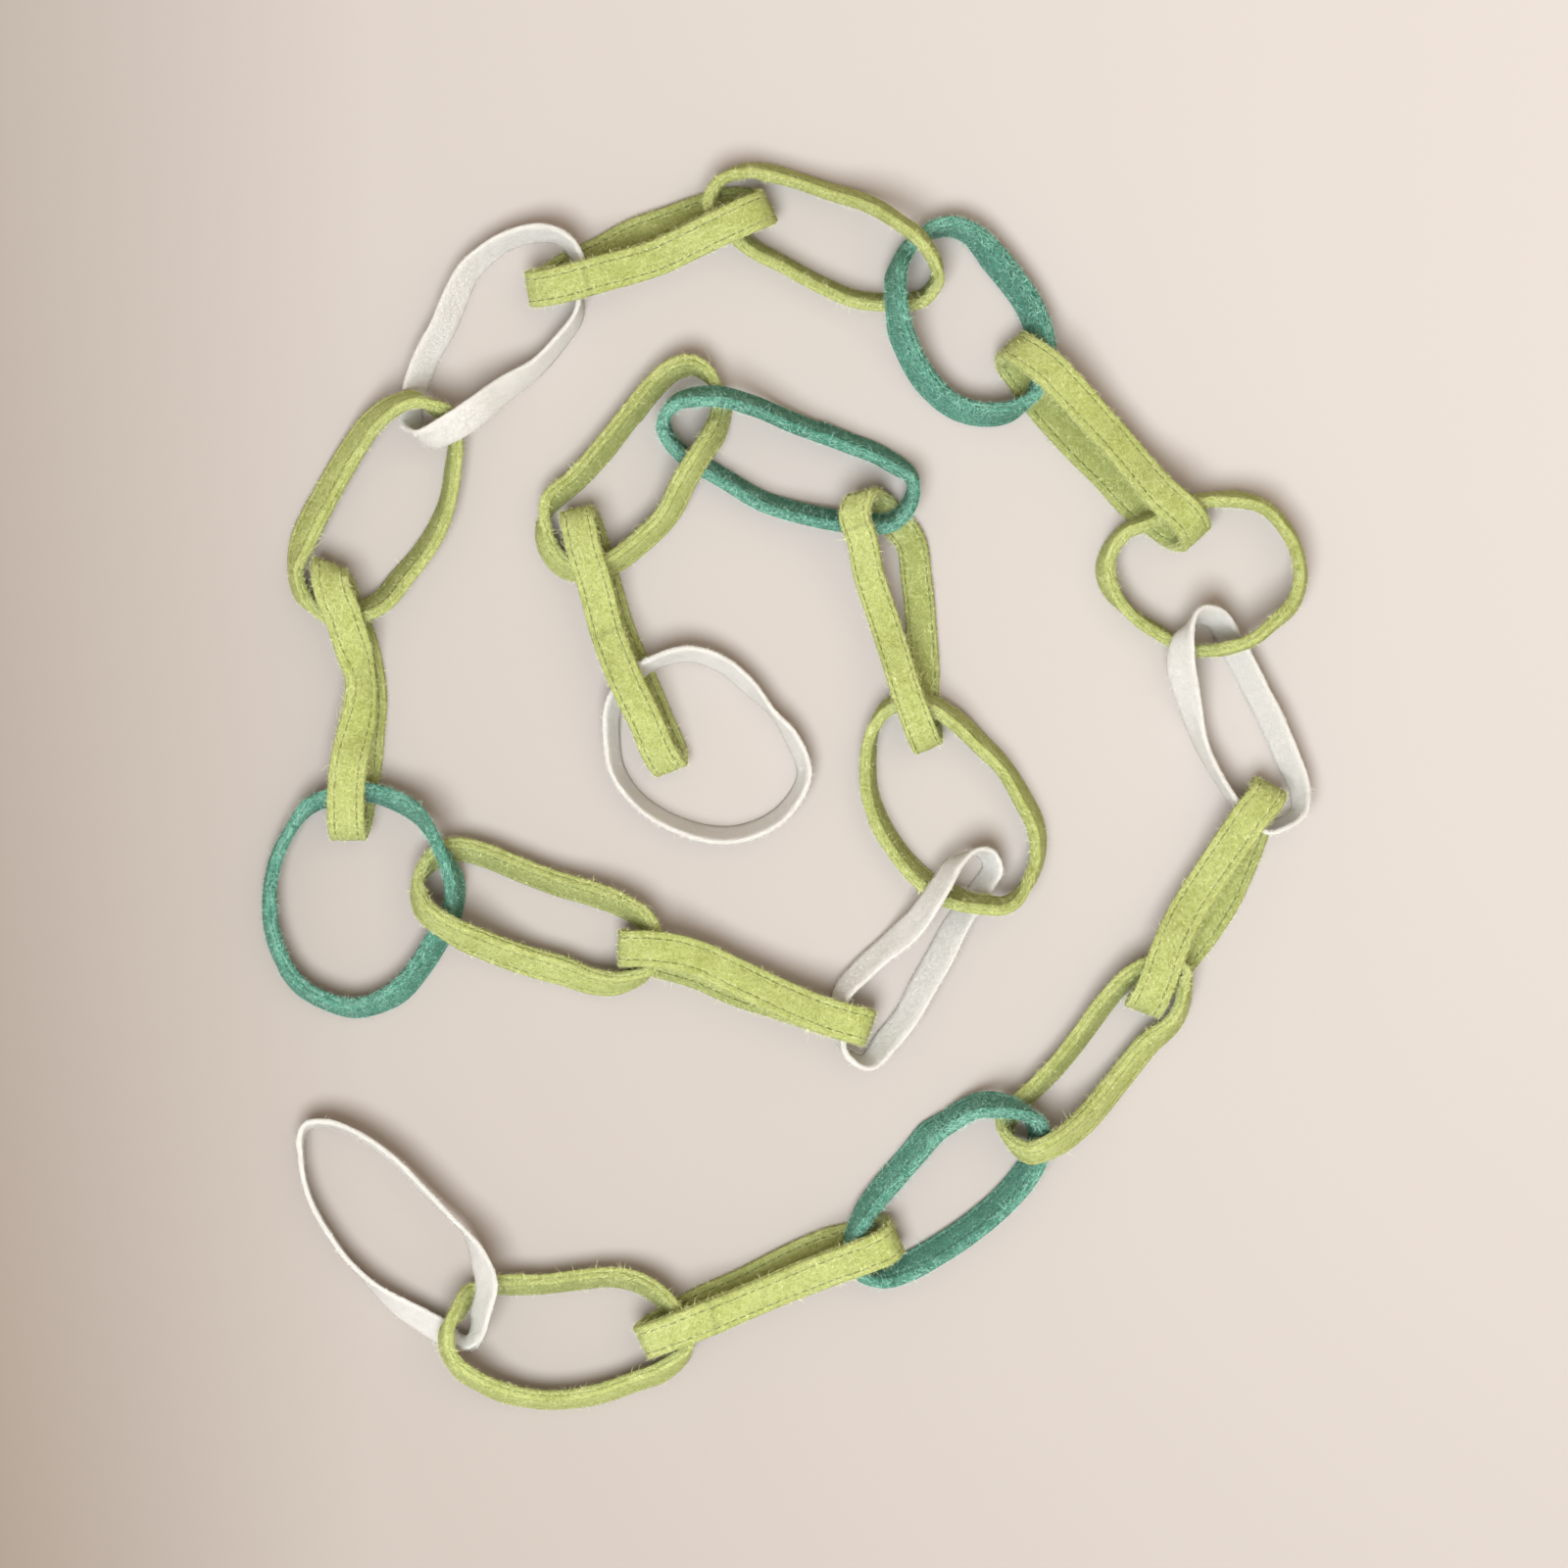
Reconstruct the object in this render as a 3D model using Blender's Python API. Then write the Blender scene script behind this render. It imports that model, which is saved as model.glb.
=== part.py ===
"""Garland of twenty-five felt strips, each closed into a loop through the loop before it.

The garland lies coiled on a table, seen from above: X to the right, Y away, Z up.
All table values are millimetres; the solids are built in metres.
"""
from collections import namedtuple

import bmesh
import bpy
import numpy as np

MM = 0.001
STEPS = 3              # sections between two rows of a table
GREEN_THICK = 4.0      # two layers of felt stitched together
WHITE_THICK = 2.0      # one layer of felt
WIDTH = 15.0           # usual width of a strip

# One row is one place along the loop: the middle of the strip, and how far the
# upper edge of the strip stands out over its lower edge (the lean of the strip).
Row = namedtuple("Row", "x y z over_x over_y")
Link = namedtuple("Link", "name colour width thick rows")

COLOURS = {
    "green": (0.56, 0.68, 0.16, 1.0),
    "teal": (0.08, 0.38, 0.26, 1.0),
    "white": (0.86, 0.85, 0.78, 1.0),
}


def rows(text):
    """Read a table: one row a line, columns x y z over_x over_y."""
    return [Row(*map(float, line.split())) for line in text.strip().splitlines()]


# Free inner end: a white loop that opens outward all round
LINK_01 = rows("""
 -62    45    12    -4     3
 -69    36    12    -5     2
 -71    19     8    -5     0
 -69     7     7    -5    -2
 -62    -4     7    -3    -4
 -44   -16     7    -2    -5
 -20   -20     7     1    -6
  -2   -12     7     4    -4
   8     5     7     5     0
   2    21     7     4     2
  -5    30     7     1     1
 -14    40     7     3     4
 -26    50     7     2     5
 -39    54     9     0     5
 -52    51    12    -1     4
""")

# Flat loop, upper layer from north to south and lower layer back
LINK_02 = rows("""
 -85   111    13    14     3
 -84   107    21    14     4
 -82    98    24    13     5
 -78    85    24    13     5
 -72    62    19    13     5
 -65    44    24    13     5
 -56    25    20    13     5
 -51    13    16    13     5
 -47     8     9    13     5
 -47    13     3    13     6
 -52    25     2    13     6
 -60    44     2    13     6
 -68    62     2    13     6
 -75    85     2    13     6
 -79    98     2    13     6
 -82   107     4    14     4
""")

# Rings 3 and 4 stand on edge and cross: each is high where it passes over the other
LINK_03 = rows("""
 -39   172    10    -1     4
 -29   165     7    -2     3
 -26   157     7    -4     2
 -27   149    10    -4     2
 -31   140    18    -4     3
 -36   132    23    -4     4
 -41   124    20    -4     4
 -48   111    12    -4     4
 -60    99    10    -4     4
 -71    91  12.5    -3     4
 -80    88  12.5     0     5
 -89    89    11     2     5
 -96    96     9     4     4
 -99   107     7     3     0
 -96   116     7    -3     3
 -86   125     7    -4     3
 -75   137     7    -4     4
 -64   151     7    -4     3
 -53   164     8    -4     3
 -46   170     9    -2     4
""")

LINK_04 = rows("""
 -49   150    17    -1    -3
 -44   156    21     0    -4
 -35   158    23     0    -6
 -27   158    23     0    -6
 -14   155    19     0    -6
   4   148    12     0    -6
  24   141     8     0    -6
  41   134     8     0    -6
  52   124    11     0    -5
  50   114  12.4     1    -4
  44   108  12.4     0    -5
  34   107    12     0    -6
  24   108    12     0    -6
   5   112     9     0    -6
 -10   117     7     0    -6
 -22   124     7     0    -6
 -32   130     7     0    -6
 -41   135     7     0    -5
 -47   141    10     0    -4
""")

# Flat loop whose two layers lie side by side at the top and meet at the bottom
LINK_05 = rows("""
  28   110    25    12     1
  31   101    25    12     2
  34    86    22    12     3
  40    68    18    12     4
  46    49    23    12     4
  50    36    25    12     4
  54    25    23    12     5
  58    17    13    12     5
  58    24     4    12     4
  57    35     2    12     4
  57    48     2    12     4
  56    63     2    13     1
  54    84     2    13     2
  50   103     2    12     4
  45   108     2    12     5
  40   114     3    12     4
  34   118    12    10     3
  30   116    22    11     1
""")

# Rings 6 and 7 cross; the white one is a narrow loop folded long
LINK_06 = rows("""
  50    35  12.6    -1    -4
  42    32    12    -1    -4
  36    23     8    -2    -4
  34     9     7    -3    -3
  35    -4     7    -3    -3
  40   -17     7    -4    -2
  47   -28     7    -4    -3
  54   -36     7    -4    -4
  60   -41     7    -4    -4
  66   -44    12    -3    -4
  73   -47    21    -2    -4
  80   -48    23    -2    -4
  88   -48    20    -1    -4
  97   -42    13    -3    -2
 103   -30     8    -3    -1
 103   -18     7    -4    -2
  97    -5     7    -4    -3
  89     8     7    -3    -3
  80    17     8    -3    -4
  68    28  12.3    -3    -4
  60    33  12.6    -2    -4
""")

LINK_07 = rows("""
  22   -96  12.4     4    -3
  23   -86    12     5    -4
  32   -75     9     6    -6
  43   -65     9     6    -6
  52   -57    17     6    -6
  59   -47    23     6    -5
  64   -39    23     6    -4
  69   -31    20     5    -2
  76   -27    15     3     2
  82   -28    10     5     2
  85   -33     7     7     0
  81   -41     6     8    -2
  76   -48     6     8    -3
  69   -59     6     9    -4
  64   -69     7     9    -5
  56   -83     7     9    -5
  50   -94     7     8    -5
  42  -104     7     7    -6
  33  -113    11     3    -5
  24  -108  12.6     3    -4
""")

# Flat loop, upper layer from left to right and lower layer back
LINK_08 = rows("""
 -66   -66    13     0   -15
 -64   -66    21     0   -15
 -54   -66    25    -2   -15
 -36   -70    20    -6   -13
 -21   -77    19    -6   -13
  -6   -84    20    -6   -13
  10   -91    23    -6   -13
  22   -95    24    -5   -14
  31 -97.5    21    -5   -14
  33 -98.5    13    -5   -14
  31 -98.5     5    -5   -14
  22   -96     2    -5   -15
  12   -93     2    -6   -15
  -3   -88     2    -6   -15
 -19   -83     2    -6   -15
 -38   -75     2    -6   -15
 -53   -71     2    -2   -15
 -62   -69     4     0   -15
""")

# Rings 9 and 10 cross at the left end of ring 9
LINK_09 = rows("""
-150   -40    13     2     3
-147   -33     9     1     5
-141   -28     7     0     7
-134   -26     7     0     7
-124   -28     7     1     7
-109   -34     7     2     7
 -93   -40     7     2     7
 -79   -44     9     2     7
 -68   -48    11     3     6
 -57   -55    12     4     4
 -53   -65  12.5     5     1
 -56   -75  13.2     4     4
 -67   -80    12     1     6
 -78   -80     8     0     9
 -90   -76     7     1    10
-104   -72     8     2    10
-122   -65    15     2     9
-134   -59    22     3     8
-142   -54    23     3     7
-148   -48    18     4     5
""")

LINK_10 = rows("""
-178    -2  12.4     1     3
-187    -5    12     1     3
-196   -10     8     2     3
-203   -19     7     3     2
-208   -29     7     3     1
-211   -44     7     3     0
-210   -59     7     4    -1
-206   -71     7     4     0
-197   -83     7     3     3
-188   -88     7     2     4
-177   -91     7     0     5
-167   -89     7    -2     5
-158   -84     7    -4     5
-150   -75     7    -4     4
-143   -64     7    -5     3
-138   -56     7    -4     2
-135   -45    10    -3     1
-136   -36    18    -2     0
-140   -26    23     0     1
-144   -18    22     1     2
-149   -12    17     2     3
-157    -7    12     2     4
-168    -3  12.4     1     4
""")

# Flat loop, upper layer from top to bottom, tilted on its left edge at the waist
LINK_11 = rows("""
-186    89    13   -14     6
-185    85    21   -14     6
-183    78    24   -14     6
-180    71    24   -14     5
-176    58    21   -14     3
-173    44    16    -9     0
-173    34    16   -11     0
-175    21    18   -14    -1
-177     9    23   -15    -1
-178    -2    24   -15     0
-178   -15    22   -15     0
-178   -20    13   -15     0
-177   -15     4   -15     0
-175    -2     2   -15     0
-173     9     2   -15     0
-172    21     2   -15    -1
-171    34     2   -15     0
-172    46     2   -15     2
-175    59     2   -15     4
-180    71     2   -14     6
-184    84     5   -14     7
""")

# Rings 12 and 13 cross at the top of ring 12
LINK_12 = rows("""
-182    68  12.5     3    -4
-173    71  12.5     4    -5
-165    75    11     5    -5
-157    85     7     6    -4
-148    96     7     5    -4
-142   106     7     5    -3
-138   117     7     4    -2
-136   129     7     4    -1
-135   140     7     3    -1
-136   147     7     3     1
-140   153    14     3     2
-146   156    20     3    -3
-152   157    22     2    -5
-159   154    22     3    -6
-168   148    16     5    -6
-175   140    10     7    -5
-184   126     7     8    -5
-192   111     7     8    -5
-198    98     7     8    -3
-200    87     8     4     1
-197    78    11     4     0
-191    72    12     4    -3
""")

LINK_13 = rows("""
 -84   206    12     2     0
 -84   213    12     4     0
 -88   221    12     3     3
 -94   225    11     1     4
-103   226     8     0     5
-114   223     7    -2     5
-123   217     7    -4     5
-130   210     7    -6     5
-135   200     7    -8     4
-140   188     7    -8     4
-147   175     7    -8     3
-151   164     7    -8     3
-153   155     7    -7     1
-152   147    11    -6    -2
-147   141  18.5    -4     5
-136   145  23.3    -3    10
-127   151    22    -4    10
-114   162    13    -4     7
-102   171     7    -3     4
 -92   182     7    -3     2
 -85   192     9    -2     1
""")

# Flat loop, upper layer from left to right; the lower layer shows behind it
LINK_14 = rows("""
-103   203    13    -2    14
-100   202    21    -3    14
 -88   204    24    -4    14
 -76 207.5    23    -4    14
 -52   215    19    -5    13
 -36   222    23    -5    13
 -25   227    25    -6    13
 -14   232    24    -7    13
  -8   236    13    -7    13
 -12   237     4    -7    14
 -22   238     2    -7    14
 -34   235     2    -6    14
 -48   230     2    -6    14
 -62   225     2    -6    14
 -77   217     2    -6    14
 -88   212     2    -5    14
 -97   206     4    -3    14
""")

# Rings 15 and 16 cross at the right end of ring 15
LINK_15 = rows("""
 -25   230    12    -2    -4
 -30   238    12    -3    -3
 -27   246    12    -2    -3
 -17   251    10     0    -4
  -7   251     8     0    -5
   4   248     8     0    -5
  18   243    10     0    -5
  34   237    16     0    -5
  46   229    22     0    -5
  54   223    23    -1    -5
  60   215    20    -1    -4
  62   207    11     0    -4
  57   200     7     0    -5
  50   198     7     0    -5
  39   198     7     0    -5
  30   199     7     0    -5
  15   205     7     0    -5
  -2   214     8     0    -5
 -14   220    11    -1    -5
""")

LINK_16 = rows("""
 104   165    12     3     1
 101   159    12     3     2
  94   154    12     3     4
  81   152     8     2     5
  70   155     7     3     5
  59   164     8     5     4
  50   178    14     5     3
  46   190    22     5     2
  45   198    23     5     0
  45   206    20     4     0
  48   216    10     3     0
  52   222     7     3    -1
  59   227     7     2     2
  68   229     7     1     3
  76   226     7     3     3
  83   219     7     6     4
  92   208     7     7     4
  99   198     7     7     3
 104   186     9     7     2
 106   176    12     5     1
""")

# Flat loop, upper layer from top left to bottom right
LINK_17 = rows("""
  93   179    13   -11   -10
  96   177    21   -11   -10
 106   170    24   -11   -10
 114   162    23   -11   -10
 128   147    19   -11    -9
 143   130    19   -11    -9
 152   119    24   -11   -10
 163   109    24   -11   -11
 167   102    13   -11   -10
 162   103     4   -11   -10
 152   110     2   -11   -11
 143   117     2   -11   -11
 134   127     2   -11   -11
 119   142     2   -11   -11
 105   158     2   -11   -11
  98   168     2   -11   -11
  93   175     4   -11   -10
""")

# Rings 18 and 19 cross at the bottom of ring 18
LINK_18 = rows("""
 155   111  12.5     1    -3
 167   116    12     0    -3
 176   117    11     0    -3
 184   117    12     0    -4
 195   114    13    -2    -3
 204   105    13    -3    -2
 209    94    14    -3     0
 210    84    15    -3     0
 207    75    17    -3     1
 198    66    21    -2     1
 189    59    23    -1     1
 180    56  21.4     0     1
 172    55    15     0     0
 164    56     8     0    -2
 156    61     7     0    -3
 141    71     7     1    -3
 133    81     7     3    -1
 131    89     7     3     0
 134    98     9     3     1
 139   104    11     2    -1
 146   107  12.5     1    -3
""")

LINK_19 = rows("""
 190   -13  12.5     2    -3
 196   -17    12     2    -4
 204   -15  12.8     3    -3
 210   -10    10     4    -2
 211    -3     7     6     1
 206    11     7     8     3
 200    25     7     8     3
 193    39     6     8     4
 188    49     6     8     4
 183    58     6     8     4
 179    65     8     5     5
 173    69    14     1     6
 166    68    20     2     6
 162    61  22.2     7     3
 161    52  21.2     9     2
 164    37    13     8     2
 168    24     7     5     1
 171    16     7     3     1
 177     4     9     2     0
 184    -7  12.5     1     1
""")

# Flat loop, upper layer from top right to bottom left
LINK_20 = rows("""
 197    -1    13    13    -7
 196    -4    21    13    -7
 189   -12    24    13    -7
 183   -21    23    13    -7
 174   -35    19    12    -7
 163   -52    19    12    -7
 156   -66    24    13    -6
 152   -77    24    14    -5
 148   -87    22    14    -5
 146   -90    13    14    -5
 150   -86     3    14    -6
 157   -77     2    13    -8
 165   -67     2    13    -8
 172   -58     2    13    -8
 179   -47     2    13    -8
 186   -32     2    13    -7
 192   -16     2    13    -8
 196    -6     3    13    -7
""")

# Rings 21 and 22 cross at the lower end of ring 21
LINK_21 = rows("""
 154   -73  12.5    -2     5
 143   -76  12.8    -3     4
 132   -87    11    -4     4
 122  -101     7    -4     4
 110  -116     7    -4     4
 101  -125     7    -4     4
  94  -132     7    -5     4
  90  -138    10    -4     3
  92  -145    17    -3     5
 100  -149    23    -2     7
 108  -146    23    -4     7
 119  -139    17    -5     6
 129  -129    10    -6     6
 139  -117     7    -6     6
 148  -106     7    -6     5
 159   -96     9    -4     3
 163   -84    12    -3     1
 163   -76    12    -2     3
""")

LINK_22 = rows("""
  27  -188    12     3     1
  28  -196    12     3    -3
  38  -200    10     3    -6
  50  -197     7     4    -7
  61  -191     7     4    -7
  76  -181     7     4    -7
  88  -171     7     5    -6
  97  -161     7     6    -5
 102  -153     7     6    -3
 104  -146     7     5    -1
 103  -139    13     4     0
  99  -133    20     3    -2
  94  -131    24     2    -4
  88  -130    22     1    -5
  80  -130    16     1    -5
  73  -133    11     2    -5
  66  -138     8     3    -4
  59  -143     7     4    -6
  53  -150     7     5    -5
  46  -158     7     5    -5
  39  -166     9     5    -4
  31  -177  12.5     4    -2
""")

LINK_23 = rows("""
 -57  -226    13    -6    13
 -55  -225    21    -6    13
 -45  -221  24.5    -6    13
 -37  -218    24    -6    13
 -21  -212    19    -5    13
   3  -202    19    -5    13
  20  -195    23    -6    13
  31  -191    24    -6    13
  41  -187    22    -6    13
  44  -184    13    -6    13
  40  -183     4    -6    14
  30  -186     2    -6    14
  18  -189     2    -6    14
   6  -194     2    -6    14
 -18  -206     2    -6    14
 -36  -214     2    -6    14
 -46  -220     2    -6    14
 -52  -223     4    -6    14
""")

# Rings 24 and 25 cross; ring 25 is the free outer end
LINK_24 = rows("""
 -43  -218    12     4     2
 -40  -228    12     2     5
 -50  -239    10    -2     6
 -62  -244     7    -2     6
 -77  -249     7    -1     6
 -89  -251     7     0     6
-101  -251     7     0     6
-112  -249     8     2     6
-123  -244    12     3     5
-131  -238    17     4     4
-137  -228    22     4     1
-137  -220    23     3     2
-133  -213    18    -1     4
-128  -208     9    -1     5
-122  -205     7     0     6
-114  -204     7     0     6
-101  -204     7     0     6
 -83  -202     7     0     6
 -72  -201     7     1     6
 -60  -203     9     2     6
 -50  -209    12     4     4
""")

LINK_25 = rows("""
-198  -144     7     0     0
-198  -150     7     1     0
-197  -160     7     1     1
-193  -172     7     1     1
-186  -184     7     1     1
-178  -195     7     1     2
-168  -205     7     3     3
-158  -213     6     5     7
-148  -219     6     5     9
-139  -224     6     4    10
-133  -226     8     4     8
-127  -222    16     6     3
-123  -212    23     8     1
-121  -203    23     9     0
-124  -193    20     8    -2
-131  -181    16     4    -1
-139  -173    15     2     2
-148  -164    15     2     3
-158  -154    14     2     3
-167  -147    13     2     3
-177  -141    12     1     3
-186  -138    10     0     3
-195  -139     8    -1     2
""")

GREEN = dict(colour="green", width=WIDTH, thick=GREEN_THICK)
TEAL = dict(colour="teal", width=WIDTH, thick=GREEN_THICK)
WHITE = dict(colour="white", width=WIDTH, thick=WHITE_THICK)

LINKS = [
    Link("link_01_white", rows=LINK_01, **WHITE),
    Link("link_02_green", "green", 14.0, GREEN_THICK, LINK_02),
    Link("link_03_green", rows=LINK_03, **GREEN),
    Link("link_04_teal", rows=LINK_04, **TEAL),
    Link("link_05_green", "green", 12.5, GREEN_THICK, LINK_05),
    Link("link_06_green", rows=LINK_06, **GREEN),
    Link("link_07_white", rows=LINK_07, **WHITE),
    Link("link_08_green", rows=LINK_08, **GREEN),
    Link("link_09_green", rows=LINK_09, **GREEN),
    Link("link_10_teal", rows=LINK_10, **TEAL),
    Link("link_11_green", rows=LINK_11, **GREEN),
    Link("link_12_green", rows=LINK_12, **GREEN),
    Link("link_13_white", rows=LINK_13, **WHITE),
    Link("link_14_green", rows=LINK_14, **GREEN),
    Link("link_15_green", rows=LINK_15, **GREEN),
    Link("link_16_teal", rows=LINK_16, **TEAL),
    Link("link_17_green", rows=LINK_17, **GREEN),
    Link("link_18_green", rows=LINK_18, **GREEN),
    Link("link_19_white", rows=LINK_19, **WHITE),
    Link("link_20_green", rows=LINK_20, **GREEN),
    Link("link_21_green", rows=LINK_21, **GREEN),
    Link("link_22_teal", rows=LINK_22, **TEAL),
    Link("link_23_green", rows=LINK_23, **GREEN),
    Link("link_24_green", rows=LINK_24, **GREEN),
    Link("link_25_white", rows=LINK_25, **WHITE),
]


def felt_material(colour):
    """Matt felt in one of the three colours."""
    name = colour + "_felt"
    material = bpy.data.materials.get(name) or bpy.data.materials.new(name)
    material.use_nodes = True
    shader = material.node_tree.nodes["Principled BSDF"]
    shader.inputs["Base Color"].default_value = COLOURS[colour]
    shader.inputs["Roughness"].default_value = 0.95
    material.diffuse_color = COLOURS[colour]
    return material


def smooth_round(values, places):
    """Smooth closed curve through the rows, with STEPS points from each row to the next."""
    before, after = np.roll(values, 1, axis=0), np.roll(values, -1, axis=0)
    ahead = np.linalg.norm(np.roll(places, -1, axis=0) - places, axis=1)[:, None]
    behind = np.roll(ahead, 1, axis=0)
    slope = (after - values) / ahead * behind + (values - before) / behind * ahead
    slope = slope / (ahead + behind)
    points = []
    for part in range(STEPS):
        t = part / STEPS
        stay, reach = 2 * t**3 - 3 * t**2 + 1, 3 * t**2 - 2 * t**3
        leave, arrive = t**3 - 2 * t**2 + t, t**3 - t**2
        tangents = leave * slope + arrive * np.roll(slope, -1, axis=0)
        points.append(stay * values + reach * after + ahead * tangents)
    return np.stack(points, axis=1).reshape(-1, values.shape[1])


def sections(link):
    """Corners of each section: lower and upper edge, inner and outer face."""
    table = np.array(link.rows)
    middle = smooth_round(table[:, :3], table[:, :3])
    over = smooth_round(table[:, 3:], table[:, :3])
    along = np.roll(middle, -1, axis=0) - np.roll(middle, 1, axis=0)
    along /= np.linalg.norm(along, axis=1)[:, None]
    lean = np.minimum(np.linalg.norm(over, axis=1), link.width)
    rise = np.sqrt(link.width**2 - lean**2)
    across = np.column_stack([over, rise])
    across -= np.sum(across * along, axis=1)[:, None] * along
    across /= np.linalg.norm(across, axis=1)[:, None]
    outward = np.cross(along, across)
    corners = []
    for side, face in ((-1, -1), (-1, 1), (1, 1), (1, -1)):
        half = side * link.width / 2 * across + face * link.thick / 2 * outward
        corners.append(middle + half)
    corners = np.stack(corners, axis=1)
    # The strip rests on the table, and its lowest edge is pressed flat there
    corners[:, :, 2] = np.maximum(corners[:, :, 2], 0.0)
    return corners * MM


def add_link(link, shift):
    """Sweep the section round the loop and close it on itself."""
    rings = sections(link) + shift
    mesh = bpy.data.meshes.new(link.name)
    body = bmesh.new()
    first = [body.verts.new(corner) for corner in rings[0]]
    start = [body.edges.new((first[i], first[(i + 1) % 4])) for i in range(4)]
    edges, corners = start, first
    for ring in rings[1:]:
        swept = bmesh.ops.extrude_edge_only(body, edges=edges)["geom"]
        fresh = {item for item in swept if isinstance(item, bmesh.types.BMVert)}
        follow = []
        for corner, place in zip(corners, ring):
            twin = next(e.other_vert(corner) for e in corner.link_edges
                        if e.other_vert(corner) in fresh)
            twin.co = place
            follow.append(twin)
        edges = [item for item in swept if isinstance(item, bmesh.types.BMEdge)]
        corners = follow
    bmesh.ops.bridge_loops(body, edges=edges + start)
    bmesh.ops.recalc_face_normals(body, faces=body.faces)
    for face in body.faces:
        face.smooth = True
    body.to_mesh(mesh)
    body.free()
    mesh.materials.append(felt_material(link.colour))
    strip = bpy.data.objects.new(link.name, mesh)
    bpy.context.scene.collection.objects.link(strip)
    return strip


def centring():
    """Move that puts the middle of the coil over the origin."""
    every = np.concatenate([sections(link).reshape(-1, 3) for link in LINKS])
    low, high = every.min(axis=0), every.max(axis=0)
    return np.array([-(low[0] + high[0]) / 2, -(low[1] + high[1]) / 2, -low[2]])


def build():
    for old in list(bpy.data.objects):
        bpy.data.objects.remove(old, do_unlink=True)
    shift = centring()
    return [add_link(link, shift) for link in LINKS]


build()
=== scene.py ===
# %% [markdown]
# # A chain of felt loops, coiled on a table
#
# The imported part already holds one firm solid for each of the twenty-five loops.
# This lesson dresses every loop as felt: rounded edges, the groove between two
# layers, two rows of topstitching, the sewn overlap, and the fuzz of the wool.
# Lengths in the tables are millimetres; Blender works in metres.

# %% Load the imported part
import math
from collections import namedtuple

import bmesh
import bpy
import numpy as np
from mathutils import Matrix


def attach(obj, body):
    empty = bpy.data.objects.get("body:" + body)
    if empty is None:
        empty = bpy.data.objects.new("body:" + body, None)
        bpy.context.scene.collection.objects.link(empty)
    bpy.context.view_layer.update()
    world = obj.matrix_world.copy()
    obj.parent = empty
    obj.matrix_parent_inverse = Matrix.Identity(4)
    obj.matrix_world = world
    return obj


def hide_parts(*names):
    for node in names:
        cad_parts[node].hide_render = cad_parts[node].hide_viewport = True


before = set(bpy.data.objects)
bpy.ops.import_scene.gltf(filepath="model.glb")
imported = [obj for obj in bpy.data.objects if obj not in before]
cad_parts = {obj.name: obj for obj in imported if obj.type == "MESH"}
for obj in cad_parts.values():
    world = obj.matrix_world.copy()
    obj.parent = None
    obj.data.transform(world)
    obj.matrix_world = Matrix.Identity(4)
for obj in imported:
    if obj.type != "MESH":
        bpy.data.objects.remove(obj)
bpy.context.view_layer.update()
MM = 0.001
print("packed nodes:", len(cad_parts))

# %% [markdown]
# ## The course of every loop
#
# A loop is a strip of felt closed on itself. One row of a table is one place
# along it: the middle of the strip (x, y, z), and how far the strip's upper edge
# stands out over its lower edge (over_x, over_y). A strip that lies flat has its
# whole width in those two numbers; one that stands on its edge has them near zero.

# %% Tables of the loops
Row = namedtuple("Row", "x y z over_x over_y")
Link = namedtuple("Link", "name colour width thick rows")
GREEN_THICK = 4.0
WHITE_THICK = 2.0
WIDTH = 15.0


def rows(text):
    return [Row(*map(float, line.split())) for line in text.strip().splitlines()]


# Free inner end: a white loop that opens outward all round
LINK_01 = rows("""
 -62    45    12    -4     3
 -69    36    12    -5     2
 -71    19     8    -5     0
 -69     7     7    -5    -2
 -62    -4     7    -3    -4
 -44   -16     7    -2    -5
 -20   -20     7     1    -6
  -2   -12     7     4    -4
   8     5     7     5     0
   2    21     7     4     2
  -5    30     7     1     1
 -14    40     7     3     4
 -26    50     7     2     5
 -39    54     9     0     5
 -52    51    12    -1     4
""")

# Flat loop, upper layer from north to south and lower layer back
LINK_02 = rows("""
 -85   111    13    14     3
 -84   107    21    14     4
 -82    98    24    13     5
 -78    85    24    13     5
 -72    62    19    13     5
 -65    44    24    13     5
 -56    25    20    13     5
 -51    13    16    13     5
 -47     8     9    13     5
 -47    13     3    13     6
 -52    25     2    13     6
 -60    44     2    13     6
 -68    62     2    13     6
 -75    85     2    13     6
 -79    98     2    13     6
 -82   107     4    14     4
""")

# Rings 3 and 4 stand on edge and cross: each is high where it passes over the other
LINK_03 = rows("""
 -39   172    10    -1     4
 -29   165     7    -2     3
 -26   157     7    -4     2
 -27   149    10    -4     2
 -31   140    18    -4     3
 -36   132    23    -4     4
 -41   124    20    -4     4
 -48   111    12    -4     4
 -60    99    10    -4     4
 -71    91  12.5    -3     4
 -80    88  12.5     0     5
 -89    89    11     2     5
 -96    96     9     4     4
 -99   107     7     3     0
 -96   116     7    -3     3
 -86   125     7    -4     3
 -75   137     7    -4     4
 -64   151     7    -4     3
 -53   164     8    -4     3
 -46   170     9    -2     4
""")

LINK_04 = rows("""
 -49   150    17    -1    -3
 -44   156    21     0    -4
 -35   158    23     0    -6
 -27   158    23     0    -6
 -14   155    19     0    -6
   4   148    12     0    -6
  24   141     8     0    -6
  41   134     8     0    -6
  52   124    11     0    -5
  50   114  12.4     1    -4
  44   108  12.4     0    -5
  34   107    12     0    -6
  24   108    12     0    -6
   5   112     9     0    -6
 -10   117     7     0    -6
 -22   124     7     0    -6
 -32   130     7     0    -6
 -41   135     7     0    -5
 -47   141    10     0    -4
""")

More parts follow.
